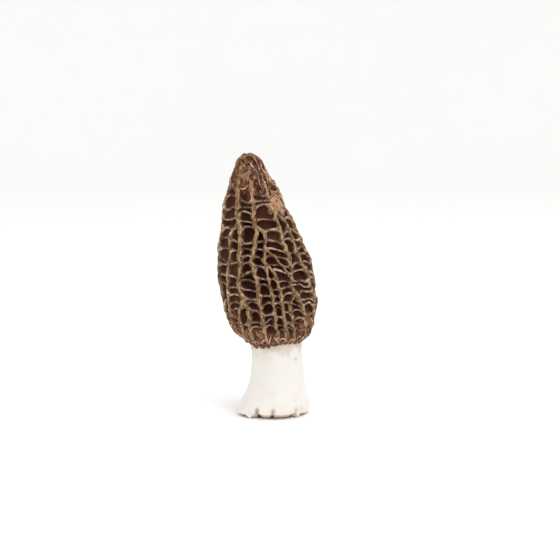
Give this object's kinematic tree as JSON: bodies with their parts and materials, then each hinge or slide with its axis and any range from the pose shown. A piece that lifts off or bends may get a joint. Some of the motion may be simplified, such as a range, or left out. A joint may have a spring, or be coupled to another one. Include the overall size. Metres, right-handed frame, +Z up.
{
  "type": "morel mushroom",
  "caption": "Fresh conical morel mushroom with a deeply ridged and pitted brown cap on a pale hollow stem, standing on its cut foot.",
  "frame": {"origin": "centre of the underside of the bounding box, on the plane of the cut foot", "axes": "+Z up from the cut foot to the tip of the cap; -Y towards the viewer of the picture; +X to the viewer's right"},
  "size_m": [0.0418, 0.041, 0.1105],
  "materials": {
    "cap_skin": "matt brown mushroom skin, tan on the ridges and dark in the pits",
    "stem_skin": "smooth cream mushroom flesh with a soft sheen"
  },
  "bodies": {
    "root": {"cap": "cap_skin", "stem": "stem_skin"}
  },
  "joints": []
}
